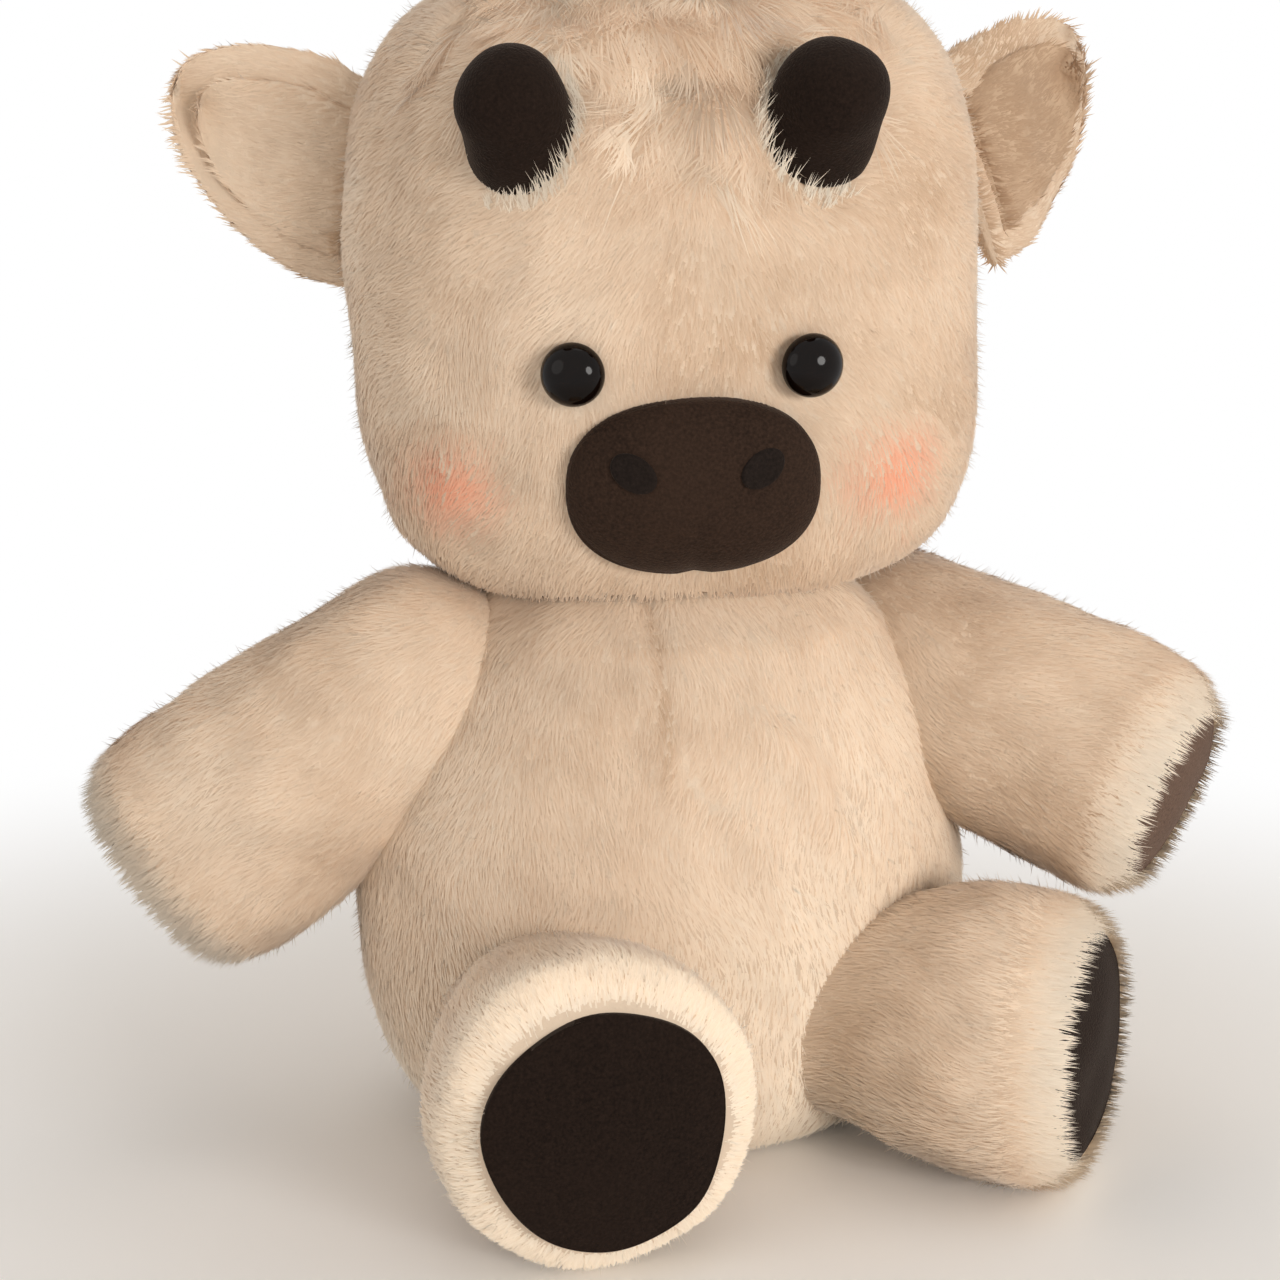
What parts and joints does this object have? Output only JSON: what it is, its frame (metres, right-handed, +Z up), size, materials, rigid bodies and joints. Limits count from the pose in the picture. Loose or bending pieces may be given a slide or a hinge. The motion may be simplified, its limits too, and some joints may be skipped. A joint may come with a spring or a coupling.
{
  "type": "plush cow",
  "caption": "Seated plush cow with a large head, stub horns, button eyes, suede muzzle and pads, and soft sewn arms, legs, ears and tail.",
  "frame": {"origin": "middle of the flat seat under the body, on the ground", "axes": "+Z up, the cow faces -Y, +X is the cow's own left side"},
  "size_m": [0.2573, 0.2065, 0.2713],
  "materials": {
    "pile_cover": "cream short pile plush",
    "long_pile": "cream long combed pile",
    "brown_suede": "dark brown short suede cloth",
    "nostril_cloth": "near black suede cloth",
    "stuffing": "white polyester fibre",
    "pellet_cloth": "plain white woven cloth bag",
    "eye_gloss": "polished black",
    "washer_plastic": "plain white moulded"
  },
  "bodies": {
    "body": {"body_cover": "pile_cover", "body_stuffing": "stuffing", "pellet_bag": "pellet_cloth"},
    "head": {"head_cover": "pile_cover", "head_stuffing": "stuffing", "forelock_panel": "long_pile", "muzzle_panel": "brown_suede", "nostril_right": "nostril_cloth", "eye_right": "eye_gloss", "eye_washer_right": "washer_plastic", "horn_right_cover": "brown_suede", "horn_right_stuffing": "stuffing", "nostril_left": "nostril_cloth", "eye_left": "eye_gloss", "eye_washer_left": "washer_plastic", "horn_left_cover": "brown_suede", "horn_left_stuffing": "stuffing"},
    "ear_right": {"ear_right_back": "pile_cover", "ear_right_lining": "pile_cover"},
    "ear_left": {"ear_left_back": "pile_cover", "ear_left_lining": "pile_cover"},
    "arm_right": {"arm_right_cover": "pile_cover", "arm_right_stuffing": "stuffing", "hand_pad_right": "brown_suede"},
    "leg_right": {"leg_right_cover": "pile_cover", "leg_right_stuffing": "stuffing", "foot_pad_right": "brown_suede"},
    "arm_left": {"arm_left_cover": "pile_cover", "arm_left_stuffing": "stuffing", "hand_pad_left": "brown_suede"},
    "leg_left": {"leg_left_cover": "pile_cover", "leg_left_stuffing": "stuffing", "foot_pad_left": "brown_suede"},
    "tail": {"tail_tube": "pile_cover", "tail_tuft": "long_pile"}
  },
  "joints": [
    {"name": "neck_turn", "type": "hinge", "parent": "body", "child": "head", "pos_m": [0, 0, 0.0745], "axis": [0, 0, 1], "range_deg": [-20, 20], "stiffness_Nm_per_rad": 0.6},
    {"name": "shoulder_right_lift", "type": "hinge", "parent": "body", "child": "arm_right", "pos_m": [-0.05642, -0.01401, 0.105], "axis": [0, 1, 0], "range_deg": [0, 30], "stiffness_Nm_per_rad": 0.25},
    {"name": "shoulder_left_lift", "type": "hinge", "parent": "body", "child": "arm_left", "pos_m": [0.05781, 0.00613, 0.105], "axis": [-0.5628, -0.7914, 0.2387], "range_deg": [0, 30], "stiffness_Nm_per_rad": 0.25},
    {"name": "hip_right_splay", "type": "hinge", "parent": "body", "child": "leg_right", "pos_m": [-0.02787, -0.0435, 0.0325], "axis": [0, 0, -1], "range_deg": [0, 40], "stiffness_Nm_per_rad": 0.4},
    {"name": "hip_left_draw_in", "type": "hinge", "parent": "body", "child": "leg_left", "pos_m": [0.04107, -0.03134, 0.0325], "axis": [0, 0, -1], "range_deg": [0, 35], "stiffness_Nm_per_rad": 0.4},
    {"name": "ear_right_fold", "type": "hinge", "parent": "head", "child": "ear_right", "pos_m": [-0.0746, -0.00676, 0.22015], "axis": [0.2082, -0.135, 0.9687], "range_deg": [-18, 18], "stiffness_Nm_per_rad": 0.03},
    {"name": "ear_left_fold", "type": "hinge", "parent": "head", "child": "ear_left", "pos_m": [0.07273, -0.00676, 0.22529], "axis": [0.4064, 0.129, -0.9045], "range_deg": [-18, 18], "stiffness_Nm_per_rad": 0.03},
    {"name": "tail_swing", "type": "hinge", "parent": "body", "child": "tail", "pos_m": [-0.01136, 0.06441, 0.047], "axis": [0, 0, 1], "range_deg": [-30, 30], "stiffness_Nm_per_rad": 0.03}
  ]
}
